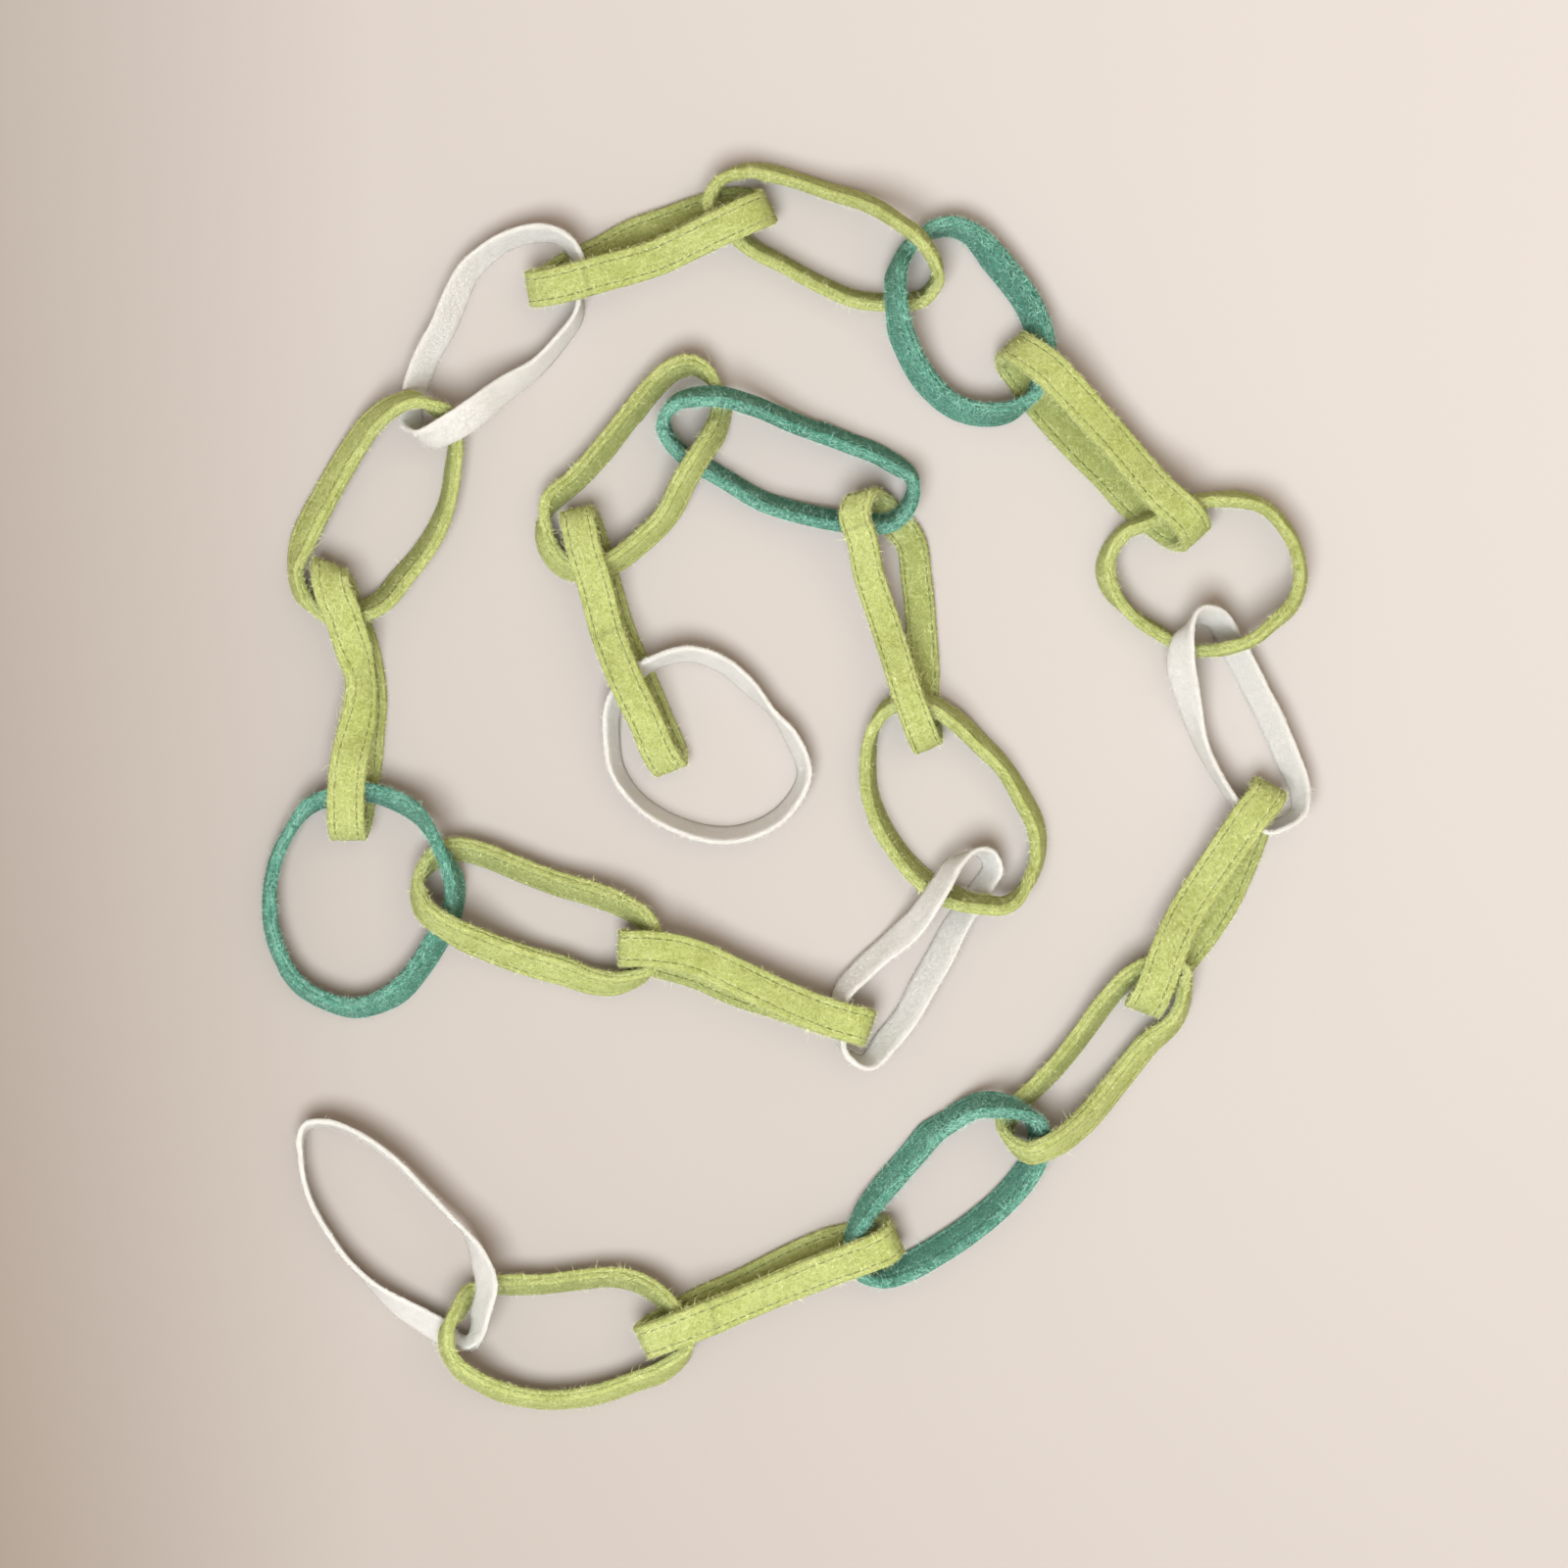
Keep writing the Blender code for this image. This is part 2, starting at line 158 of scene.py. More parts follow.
# Flat loop whose two layers lie side by side at the top and meet at the bottom
LINK_05 = rows("""
  28   110    25    12     1
  31   101    25    12     2
  34    86    22    12     3
  40    68    18    12     4
  46    49    23    12     4
  50    36    25    12     4
  54    25    23    12     5
  58    17    13    12     5
  58    24     4    12     4
  57    35     2    12     4
  57    48     2    12     4
  56    63     2    13     1
  54    84     2    13     2
  50   103     2    12     4
  45   108     2    12     5
  40   114     3    12     4
  34   118    12    10     3
  30   116    22    11     1
""")

# Rings 6 and 7 cross; the white one is a narrow loop folded long
LINK_06 = rows("""
  50    35  12.6    -1    -4
  42    32    12    -1    -4
  36    23     8    -2    -4
  34     9     7    -3    -3
  35    -4     7    -3    -3
  40   -17     7    -4    -2
  47   -28     7    -4    -3
  54   -36     7    -4    -4
  60   -41     7    -4    -4
  66   -44    12    -3    -4
  73   -47    21    -2    -4
  80   -48    23    -2    -4
  88   -48    20    -1    -4
  97   -42    13    -3    -2
 103   -30     8    -3    -1
 103   -18     7    -4    -2
  97    -5     7    -4    -3
  89     8     7    -3    -3
  80    17     8    -3    -4
  68    28  12.3    -3    -4
  60    33  12.6    -2    -4
""")

LINK_07 = rows("""
  22   -96  12.4     4    -3
  23   -86    12     5    -4
  32   -75     9     6    -6
  43   -65     9     6    -6
  52   -57    17     6    -6
  59   -47    23     6    -5
  64   -39    23     6    -4
  69   -31    20     5    -2
  76   -27    15     3     2
  82   -28    10     5     2
  85   -33     7     7     0
  81   -41     6     8    -2
  76   -48     6     8    -3
  69   -59     6     9    -4
  64   -69     7     9    -5
  56   -83     7     9    -5
  50   -94     7     8    -5
  42  -104     7     7    -6
  33  -113    11     3    -5
  24  -108  12.6     3    -4
""")

# Flat loop, upper layer from left to right and lower layer back
LINK_08 = rows("""
 -66   -66    13     0   -15
 -64   -66    21     0   -15
 -54   -66    25    -2   -15
 -36   -70    20    -6   -13
 -21   -77    19    -6   -13
  -6   -84    20    -6   -13
  10   -91    23    -6   -13
  22   -95    24    -5   -14
  31 -97.5    21    -5   -14
  33 -98.5    13    -5   -14
  31 -98.5     5    -5   -14
  22   -96     2    -5   -15
  12   -93     2    -6   -15
  -3   -88     2    -6   -15
 -19   -83     2    -6   -15
 -38   -75     2    -6   -15
 -53   -71     2    -2   -15
 -62   -69     4     0   -15
""")

# Rings 9 and 10 cross at the left end of ring 9
LINK_09 = rows("""
-150   -40    13     2     3
-147   -33     9     1     5
-141   -28     7     0     7
-134   -26     7     0     7
-124   -28     7     1     7
-109   -34     7     2     7
 -93   -40     7     2     7
 -79   -44     9     2     7
 -68   -48    11     3     6
 -57   -55    12     4     4
 -53   -65  12.5     5     1
 -56   -75  13.2     4     4
 -67   -80    12     1     6
 -78   -80     8     0     9
 -90   -76     7     1    10
-104   -72     8     2    10
-122   -65    15     2     9
-134   -59    22     3     8
-142   -54    23     3     7
-148   -48    18     4     5
""")

LINK_10 = rows("""
-178    -2  12.4     1     3
-187    -5    12     1     3
-196   -10     8     2     3
-203   -19     7     3     2
-208   -29     7     3     1
-211   -44     7     3     0
-210   -59     7     4    -1
-206   -71     7     4     0
-197   -83     7     3     3
-188   -88     7     2     4
-177   -91     7     0     5
-167   -89     7    -2     5
-158   -84     7    -4     5
-150   -75     7    -4     4
-143   -64     7    -5     3
-138   -56     7    -4     2
-135   -45    10    -3     1
-136   -36    18    -2     0
-140   -26    23     0     1
-144   -18    22     1     2
-149   -12    17     2     3
-157    -7    12     2     4
-168    -3  12.4     1     4
""")

# Flat loop, upper layer from top to bottom, tilted on its left edge at the waist
LINK_11 = rows("""
-186    89    13   -14     6
-185    85    21   -14     6
-183    78    24   -14     6
-180    71    24   -14     5
-176    58    21   -14     3
-173    44    16    -9     0
-173    34    16   -11     0
-175    21    18   -14    -1
-177     9    23   -15    -1
-178    -2    24   -15     0
-178   -15    22   -15     0
-178   -20    13   -15     0
-177   -15     4   -15     0
-175    -2     2   -15     0
-173     9     2   -15     0
-172    21     2   -15    -1
-171    34     2   -15     0
-172    46     2   -15     2
-175    59     2   -15     4
-180    71     2   -14     6
-184    84     5   -14     7
""")

# Rings 12 and 13 cross at the top of ring 12
LINK_12 = rows("""
-182    68  12.5     3    -4
-173    71  12.5     4    -5
-165    75    11     5    -5
-157    85     7     6    -4
-148    96     7     5    -4
-142   106     7     5    -3
-138   117     7     4    -2
-136   129     7     4    -1
-135   140     7     3    -1
-136   147     7     3     1
-140   153    14     3     2
-146   156    20     3    -3
-152   157    22     2    -5
-159   154    22     3    -6
-168   148    16     5    -6
-175   140    10     7    -5
-184   126     7     8    -5
-192   111     7     8    -5
-198    98     7     8    -3
-200    87     8     4     1
-197    78    11     4     0
-191    72    12     4    -3
""")

LINK_13 = rows("""
 -84   206    12     2     0
 -84   213    12     4     0
 -88   221    12     3     3
 -94   225    11     1     4
-103   226     8     0     5
-114   223     7    -2     5
-123   217     7    -4     5
-130   210     7    -6     5
-135   200     7    -8     4
-140   188     7    -8     4
-147   175     7    -8     3
-151   164     7    -8     3
-153   155     7    -7     1
-152   147    11    -6    -2
-147   141  18.5    -4     5
-136   145  23.3    -3    10
-127   151    22    -4    10
-114   162    13    -4     7
-102   171     7    -3     4
 -92   182     7    -3     2
 -85   192     9    -2     1
""")

# Flat loop, upper layer from left to right; the lower layer shows behind it
LINK_14 = rows("""
-103   203    13    -2    14
-100   202    21    -3    14
 -88   204    24    -4    14
 -76 207.5    23    -4    14
 -52   215    19    -5    13
 -36   222    23    -5    13
 -25   227    25    -6    13
 -14   232    24    -7    13
  -8   236    13    -7    13
 -12   237     4    -7    14
 -22   238     2    -7    14
 -34   235     2    -6    14
 -48   230     2    -6    14
 -62   225     2    -6    14
 -77   217     2    -6    14
 -88   212     2    -5    14
 -97   206     4    -3    14
""")

# Rings 15 and 16 cross at the right end of ring 15
LINK_15 = rows("""
 -25   230    12    -2    -4
 -30   238    12    -3    -3
 -27   246    12    -2    -3
 -17   251    10     0    -4
  -7   251     8     0    -5
   4   248     8     0    -5
  18   243    10     0    -5
  34   237    16     0    -5
  46   229    22     0    -5
  54   223    23    -1    -5
  60   215    20    -1    -4
  62   207    11     0    -4
  57   200     7     0    -5
  50   198     7     0    -5
  39   198     7     0    -5
  30   199     7     0    -5
  15   205     7     0    -5
  -2   214     8     0    -5
 -14   220    11    -1    -5
""")

LINK_16 = rows("""
 104   165    12     3     1
 101   159    12     3     2
  94   154    12     3     4
  81   152     8     2     5
  70   155     7     3     5
  59   164     8     5     4
  50   178    14     5     3
  46   190    22     5     2
  45   198    23     5     0
  45   206    20     4     0
  48   216    10     3     0
  52   222     7     3    -1
  59   227     7     2     2
  68   229     7     1     3
  76   226     7     3     3
  83   219     7     6     4
  92   208     7     7     4
  99   198     7     7     3
 104   186     9     7     2
 106   176    12     5     1
""")

# Flat loop, upper layer from top left to bottom right
LINK_17 = rows("""
  93   179    13   -11   -10
  96   177    21   -11   -10
 106   170    24   -11   -10
 114   162    23   -11   -10
 128   147    19   -11    -9
 143   130    19   -11    -9
 152   119    24   -11   -10
 163   109    24   -11   -11
 167   102    13   -11   -10
 162   103     4   -11   -10
 152   110     2   -11   -11
 143   117     2   -11   -11
 134   127     2   -11   -11
 119   142     2   -11   -11
 105   158     2   -11   -11
  98   168     2   -11   -11
  93   175     4   -11   -10
""")

# Rings 18 and 19 cross at the bottom of ring 18
LINK_18 = rows("""
 155   111  12.5     1    -3
 167   116    12     0    -3
 176   117    11     0    -3
 184   117    12     0    -4
 195   114    13    -2    -3
 204   105    13    -3    -2
 209    94    14    -3     0
 210    84    15    -3     0
 207    75    17    -3     1
 198    66    21    -2     1
 189    59    23    -1     1
 180    56  21.4     0     1
 172    55    15     0     0
 164    56     8     0    -2
 156    61     7     0    -3
 141    71     7     1    -3
 133    81     7     3    -1
 131    89     7     3     0
 134    98     9     3     1
 139   104    11     2    -1
 146   107  12.5     1    -3
""")

LINK_19 = rows("""
 190   -13  12.5     2    -3
 196   -17    12     2    -4
 204   -15  12.8     3    -3
 210   -10    10     4    -2
 211    -3     7     6     1
 206    11     7     8     3
 200    25     7     8     3
 193    39     6     8     4
 188    49     6     8     4
 183    58     6     8     4
 179    65     8     5     5
 173    69    14     1     6
 166    68    20     2     6
 162    61  22.2     7     3
 161    52  21.2     9     2
 164    37    13     8     2
 168    24     7     5     1
 171    16     7     3     1
 177     4     9     2     0
 184    -7  12.5     1     1
""")

# Flat loop, upper layer from top right to bottom left
LINK_20 = rows("""
 197    -1    13    13    -7
 196    -4    21    13    -7
 189   -12    24    13    -7
 183   -21    23    13    -7
 174   -35    19    12    -7
 163   -52    19    12    -7
 156   -66    24    13    -6
 152   -77    24    14    -5
 148   -87    22    14    -5
 146   -90    13    14    -5
 150   -86     3    14    -6
 157   -77     2    13    -8
 165   -67     2    13    -8
 172   -58     2    13    -8
 179   -47     2    13    -8
 186   -32     2    13    -7
 192   -16     2    13    -8
 196    -6     3    13    -7
""")

# Rings 21 and 22 cross at the lower end of ring 21
LINK_21 = rows("""
 154   -73  12.5    -2     5
 143   -76  12.8    -3     4
 132   -87    11    -4     4
 122  -101     7    -4     4
 110  -116     7    -4     4
 101  -125     7    -4     4
  94  -132     7    -5     4
  90  -138    10    -4     3
  92  -145    17    -3     5
 100  -149    23    -2     7
 108  -146    23    -4     7
 119  -139    17    -5     6
 129  -129    10    -6     6
 139  -117     7    -6     6
 148  -106     7    -6     5
 159   -96     9    -4     3
 163   -84    12    -3     1
 163   -76    12    -2     3
""")

LINK_22 = rows("""
  27  -188    12     3     1
  28  -196    12     3    -3
  38  -200    10     3    -6
  50  -197     7     4    -7
  61  -191     7     4    -7
  76  -181     7     4    -7
  88  -171     7     5    -6
  97  -161     7     6    -5
 102  -153     7     6    -3
 104  -146     7     5    -1
 103  -139    13     4     0
  99  -133    20     3    -2
  94  -131    24     2    -4
  88  -130    22     1    -5
  80  -130    16     1    -5
  73  -133    11     2    -5
  66  -138     8     3    -4
  59  -143     7     4    -6
  53  -150     7     5    -5
  46  -158     7     5    -5
  39  -166     9     5    -4
  31  -177  12.5     4    -2
""")

LINK_23 = rows("""
 -57  -226    13    -6    13
 -55  -225    21    -6    13
 -45  -221  24.5    -6    13
 -37  -218    24    -6    13
 -21  -212    19    -5    13
   3  -202    19    -5    13
  20  -195    23    -6    13
  31  -191    24    -6    13
  41  -187    22    -6    13
  44  -184    13    -6    13
  40  -183     4    -6    14
  30  -186     2    -6    14
  18  -189     2    -6    14
   6  -194     2    -6    14
 -18  -206     2    -6    14
 -36  -214     2    -6    14
 -46  -220     2    -6    14
 -52  -223     4    -6    14
""")

# Rings 24 and 25 cross; ring 25 is the free outer end
LINK_24 = rows("""
 -43  -218    12     4     2
 -40  -228    12     2     5
 -50  -239    10    -2     6
 -62  -244     7    -2     6
 -77  -249     7    -1     6
 -89  -251     7     0     6
-101  -251     7     0     6
-112  -249     8     2     6
-123  -244    12     3     5
-131  -238    17     4     4
-137  -228    22     4     1
-137  -220    23     3     2
-133  -213    18    -1     4
-128  -208     9    -1     5
-122  -205     7     0     6
-114  -204     7     0     6
-101  -204     7     0     6
 -83  -202     7     0     6
 -72  -201     7     1     6
 -60  -203     9     2     6
 -50  -209    12     4     4
""")

LINK_25 = rows("""
-198  -144     7     0     0
-198  -150     7     1     0
-197  -160     7     1     1
-193  -172     7     1     1
-186  -184     7     1     1
-178  -195     7     1     2
-168  -205     7     3     3
-158  -213     6     5     7
-148  -219     6     5     9
-139  -224     6     4    10
-133  -226     8     4     8
-127  -222    16     6     3
-123  -212    23     8     1
-121  -203    23     9     0
-124  -193    20     8    -2
-131  -181    16     4    -1
-139  -173    15     2     2
-148  -164    15     2     3
-158  -154    14     2     3
-167  -147    13     2     3
-177  -141    12     1     3
-186  -138    10     0     3
-195  -139     8    -1     2
""")

GREEN = dict(colour="green", width=WIDTH, thick=GREEN_THICK)
TEAL = dict(colour="teal", width=WIDTH, thick=GREEN_THICK)
WHITE = dict(colour="white", width=WIDTH, thick=WHITE_THICK)

LINKS = [
    Link("link_01_white", rows=LINK_01, **WHITE),
    Link("link_02_green", "green", 14.0, GREEN_THICK, LINK_02),
    Link("link_03_green", rows=LINK_03, **GREEN),
    Link("link_04_teal", rows=LINK_04, **TEAL),
    Link("link_05_green", "green", 12.5, GREEN_THICK, LINK_05),
    Link("link_06_green", rows=LINK_06, **GREEN),
    Link("link_07_white", rows=LINK_07, **WHITE),
    Link("link_08_green", rows=LINK_08, **GREEN),
    Link("link_09_green", rows=LINK_09, **GREEN),
    Link("link_10_teal", rows=LINK_10, **TEAL),
    Link("link_11_green", rows=LINK_11, **GREEN),
    Link("link_12_green", rows=LINK_12, **GREEN),
    Link("link_13_white", rows=LINK_13, **WHITE),
    Link("link_14_green", rows=LINK_14, **GREEN),
    Link("link_15_green", rows=LINK_15, **GREEN),
    Link("link_16_teal", rows=LINK_16, **TEAL),
    Link("link_17_green", rows=LINK_17, **GREEN),
    Link("link_18_green", rows=LINK_18, **GREEN),
    Link("link_19_white", rows=LINK_19, **WHITE),
    Link("link_20_green", rows=LINK_20, **GREEN),
    Link("link_21_green", rows=LINK_21, **GREEN),
    Link("link_22_teal", rows=LINK_22, **TEAL),
    Link("link_23_green", rows=LINK_23, **GREEN),
    Link("link_24_green", rows=LINK_24, **GREEN),
    Link("link_25_white", rows=LINK_25, **WHITE),
]
print("loops:", len(LINKS), "rows:", sum(len(link.rows) for link in LINKS))

# %% [markdown]
# ## A smooth course through the rows
#
# A closed curve through the rows gives the middle of the strip at many stations.
# The lean gives the direction across the strip, and the cross product of the two
# gives the direction through it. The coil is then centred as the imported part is.

# %% Stations
STEPS = 7              # stations drawn for every row of a table
PACKED_STEPS = 3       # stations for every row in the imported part


def smooth_round(values, places, steps):
    """A smooth closed curve through the values; places set its pace."""
    before, after = np.roll(values, 1, axis=0), np.roll(values, -1, axis=0)
    ahead = np.linalg.norm(np.roll(places, -1, axis=0) - places, axis=1)[:, None]
    behind = np.roll(ahead, 1, axis=0)
    slope = (after - values) / ahead * behind + (values - before) / behind * ahead
    slope = slope / (ahead + behind)
    points = []
    for part in range(steps):
        t = part / steps
        stay, reach = 2 * t**3 - 3 * t**2 + 1, 3 * t**2 - 2 * t**3
        leave, arrive = t**3 - 2 * t**2 + t, t**3 - t**2
        tangents = leave * slope + arrive * np.roll(slope, -1, axis=0)
        points.append(stay * values + reach * after + ahead * tangents)
    return np.stack(points, axis=1).reshape(-1, values.shape[1])


def course(link, steps):
    """Middle, direction across and direction through, at every station."""
    table = np.array(link.rows)
    middle = smooth_round(table[:, :3], table[:, :3], steps)
    over = smooth_round(table[:, 3:], table[:, :3], steps)
    along = np.roll(middle, -1, axis=0) - np.roll(middle, 1, axis=0)
    along /= np.linalg.norm(along, axis=1)[:, None]
    lean = np.minimum(np.linalg.norm(over, axis=1), link.width)
    across = np.column_stack([over, np.sqrt(link.width**2 - lean**2)])
    across -= np.sum(across * along, axis=1)[:, None] * along
    across /= np.linalg.norm(across, axis=1)[:, None]
    return middle, across, np.cross(along, across)


def plain_corners(link):
    """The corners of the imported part's plain four-cornered section."""
    middle, across, through = course(link, PACKED_STEPS)
    half_a, half_b = across * link.width / 2, through * link.thick / 2
    corners = [middle + a * half_a + b * half_b for a in (-1, 1) for b in (-1, 1)]
    return np.concatenate(corners)


every = np.concatenate([plain_corners(link) for link in LINKS])
every[:, 2] = np.maximum(every[:, 2], 0.0)
low, high = every.min(axis=0), every.max(axis=0)
SHIFT = np.array([-(low[0] + high[0]) / 2, -(low[1] + high[1]) / 2, -low[2]])
print("moved by", SHIFT.round(2), "mm; coil", (high - low).round(1), "mm")

# %% [markdown]
# ## The section of a strip
#
# Green and teal strips are two felts stitched together: the section has a groove
# in the middle of each cut edge, and dips a little along the two rows of
# topstitching. White strips are one felt with plain rounded edges.

# %% Section profiles
STITCH_ROW = 4.5       # from the middle of the strip to a row of stitches
DIP = 0.28             # how far the thread pulls the felt in
LOFT = 0.25            # loose wool on each face of the stitched strips
# The third number of a point is how much painted shade darkens it, most in the groove of a cut
# edge.
Point = namedtuple("Point", "across through groove")


def profile(link):
    """Points round the section, starting on the inner face at the lower edge."""
    w, t = link.width / 2, link.thick / 2
    if link.colour == "white":
        face = [(-w + 0.7, t), (-4.5, t), (-1.5, t), (1.5, t), (4.5, t), (w - 0.7, t)]
        edge = [(w - 0.15, t * 0.55, 0.1), (w, 0.0, 0.2), (w - 0.15, -t * 0.55, 0.1)]
    else:
        t += LOFT
        row = STITCH_ROW * link.width / WIDTH
        face = [(-w + 0.8, t), (-row - 0.9, t), (-row, t - DIP), (-row + 0.9, t),
                (-1.4, t + 0.05), (1.4, t + 0.05),
                (row - 0.9, t), (row, t - DIP), (row + 0.9, t), (w - 0.8, t)]
        edge = [(w - 0.3, t * 0.78, 0.0), (w, t * 0.42, 0.1), (w - 0.1, 0.3, 0.4),
                (w - 0.5, 0.0, 1.0),
                (w - 0.1, -0.3, 0.4), (w, -t * 0.42, 0.1), (w - 0.3, -t * 0.78, 0.0)]
    front = [Point(a, b, 0.0) for a, b in face]
    top = [Point(a, b, g) for a, b, g in edge]
    back = [Point(-p.across, -p.through, p.groove) for p in front]
    bottom = [Point(-p.across, -p.through, p.groove) for p in top]
    return front + top + back + bottom


# Where the sewn overlap of each loop ends (x, y, z), and which face shows it
SEAMS = {
    1: (-40, -17, 7, 1), 2: (-72, 63, 20, 1), 3: (-62, 153, 7, 1), 4: (16, 144, 9, -1),
    5: (27, 104, 24, 1), 6: (38, -13, 7, 1), 7: (29, -110, 12, 1), 8: (26, -96, 24, 1),
    9: (-90, -76, 7, 1), 10: (-203, -75, 7, 1), 11: (-177, -13, 22, 1), 12: (-190, 114, 7, 1),
    13: (-143, 182, 7, 1), 14: (-82, 208, 23, 1), 15: (-10, 251, 9, 1), 16: (85, 218, 7, 1),
    17: (132, 142, 19, -1), 18: (137, 103, 10, 1), 19: (200, 26, 7, 1), 20: (183, -20, 23, 1),
    21: (118, -140, 18, -1), 22: (65, -138, 8, 1), 23: (-31, -216, 22, 1),
    24: (-115, -204, 7, 1), 25: (-197, -144, 7, 1),
}
PLAIN_SEAMS = {2, 5, 8, 14, 21, 22, 23, 24, 25}    # seams whose line is plain to see
FAINT = 0.4            # strength of the line of every other seam
SEAM_REACH = 0.55      # how far the dark line of a seam spreads along the strip
OVERLAP = 13.0         # length of the sewn overlap
STEP = 0.45            # height of its end on the face

# %% [markdown]
# ## Sweeping the section round the loop
#
# Each ring of points is drawn out from the ring before it with an extrude, and
# the last ring is bridged to the first. Felt is never quite even, so the width,
# the thickness and the face wander by a few tenths of a millimetre.

# %% Sweep
UNEVEN_WIDTH = 0.012   # as a share of the width
UNEVEN_THICK = 0.05    # as a share of the thickness
UNEVEN_FACE = 0.10     # in millimetres


def sweep(rings, pairs, closed, name):
    """Draw the edges in pairs out through every ring of points."""
    body = bmesh.new()
    corners = [body.verts.new(place) for place in rings[0]]
    start = [body.edges.new((corners[a], corners[b])) for a, b in pairs]
    edges = start
    for ring in rings[1:]:
        drawn = bmesh.ops.extrude_edge_only(body, edges=edges)["geom"]
        fresh = {item for item in drawn if isinstance(item, bmesh.types.BMVert)}
        follow = []
        for corner, place in zip(corners, ring):
            twin = next(e.other_vert(corner) for e in corner.link_edges
                        if e.other_vert(corner) in fresh)
            twin.co = place
            follow.append(twin)
        edges = [item for item in drawn if isinstance(item, bmesh.types.BMEdge)]
        corners = follow
    if closed:
        bmesh.ops.bridge_loops(body, edges=edges + start)
        bmesh.ops.recalc_face_normals(body, faces=body.faces)
    mesh = bpy.data.meshes.new(name)
    body.to_mesh(mesh)
    body.free()
    mesh.polygons.foreach_set("use_smooth", [True] * len(mesh.polygons))
    piece = bpy.data.objects.new(name, mesh)
    bpy.context.scene.collection.objects.link(piece)
    return piece


def wander(turns, seed, waves):
    """A gentle unevenness that meets itself after one turn round the loop."""
    rng = np.random.default_rng(seed)
    total = np.zeros_like(turns)
    for count in range(1, waves + 1):
        total += rng.normal() / count**0.5 * np.sin(2 * np.pi * (count * turns + rng.random()))
    return total / waves**0.5


def mark(mesh, name, values):
    """Give every point of a mesh one number that a material can read."""
    layer = mesh.attributes.new(name, "FLOAT", "POINT")
    layer.data.foreach_set("value", np.asarray(values, dtype=float).ravel())


def map_strip(mesh, run, shape):
    """A UV map in millimetres: along the strip, and across it."""
    index = np.zeros(len(mesh.loops), dtype=int)
    mesh.loops.foreach_get("vertex_index", index)
    ring_of, point_of = index // len(shape), index % len(shape)
    face_first = np.repeat(ring_of.reshape(-1, 4).min(axis=1), 4)
    face_last = np.repeat(ring_of.reshape(-1, 4).max(axis=1), 4)
    wraps = (face_last - face_first > 1) & (ring_of == 0)
    u = np.where(wraps, run[-1], run[ring_of])
    v = np.array([p.across for p in shape])[point_of]
    layer = mesh.uv_layers.new(name="strip")
    layer.data.foreach_set("uv", np.column_stack([u, v]).ravel())


surfaces = {}


def felt_strip(number, link):
    middle, across, through = course(link, STEPS)
    shape = profile(link)
    step = np.linalg.norm(np.roll(middle, -1, axis=0) - middle, axis=1)
    run = np.concatenate([[0.0], np.cumsum(step)])
    turns = run[:-1] / run[-1]
    x, y, z, side = SEAMS[number]
    at = int(np.argmin(np.linalg.norm(middle - [x, y, z], axis=1)))
    past = (run[:-1] - run[at]) % run[-1]
    lap = np.where(past < OVERLAP, (1 - past / OVERLAP) ** 0.6 * STEP, 0.0)
    wide = 1 + UNEVEN_WIDTH * wander(turns, 100 + number, 12)
    thick = 1 + UNEVEN_THICK * wander(turns, 200 + number, 16)
    rings = np.zeros((len(middle), len(shape), 3))
    for k, point in enumerate(shape):
        ripple = UNEVEN_FACE * wander(turns, 1000 * number + k // 3, 30)
        out = point.through * thick + np.sign(point.through) * ripple
        if point.through * side > 0.3:
            out = out + side * lap
        rings[:, k] = middle + across * (point.across * wide)[:, None] + through * out[:, None]
    rings[:, :, 2] = np.maximum(rings[:, :, 2], 0.0)
    rings = (rings + SHIFT) * MM
    surfaces[link.name] = rings
    pairs = [(k, (k + 1) % len(shape)) for k in range(len(shape))]
    piece = sweep(rings, pairs, True, link.name + "_felt")
    map_strip(piece.data, run, shape)
    # Painted shade for the groove and middle of the cut edges, read by the felt material.
    mark(piece.data, "groove", np.tile([p.groove for p in shape], len(middle)))
    line = np.exp(-((np.minimum(past, run[-1] - past) / SEAM_REACH) ** 2))
    sides = np.array([p.through * side > 0.1 for p in shape])
    shows = 1.0 if number in PLAIN_SEAMS else FAINT
    mark(piece.data, "seam", shows * line[:, None] * sides[None, :])
    # The face inside the loop is marked for painted shade, which the felt material mixes in.
    inward = np.sign(np.sum(through * (middle.mean(axis=0) - middle)))
    mark(piece.data, "inner", np.tile([p.through * inward > 0.5 for p in shape], len(middle)))
    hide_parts(link.name)
    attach(piece, "root")
    link.colour + "_felt"
    cut_width = link.width * MM
    return piece


strips = {link.name: felt_strip(n + 1, link) for n, link in enumerate(LINKS)}
print("felt strips:", len(strips), "faces:", sum(len(s.data.polygons) for s in strips.values()))

# %% [markdown]
# ## Fuzz
#
# Short wool fibres stand off the upper side of each strip, most of them combed
# along it. Each is a thin ribbon of three pieces that leaves the surface and
# curls back towards it.

# %% Fibres
FIBRES = {"green": 3600, "teal": 5600, "white": 3000}         # at most, on one loop
FIBRE_WIDE = {"green": 0.10, "teal": 0.10, "white": 0.08}     # millimetres
FIBRE_LONG = {"green": 1.0, "teal": 1.15, "white": 0.6}       # beside green
SWERVE = 0.8           # how far a fibre turns away from the strip, in radians
DOWNWARD = -0.25       # a point whose outward direction sinks below this has no fibre
JOINTS = (0.0, 0.35, 0.7, 1.0)
fibre_rng = np.random.default_rng(41)


def unit(vectors):
    return vectors / np.linalg.norm(vectors, axis=1)[:, None]


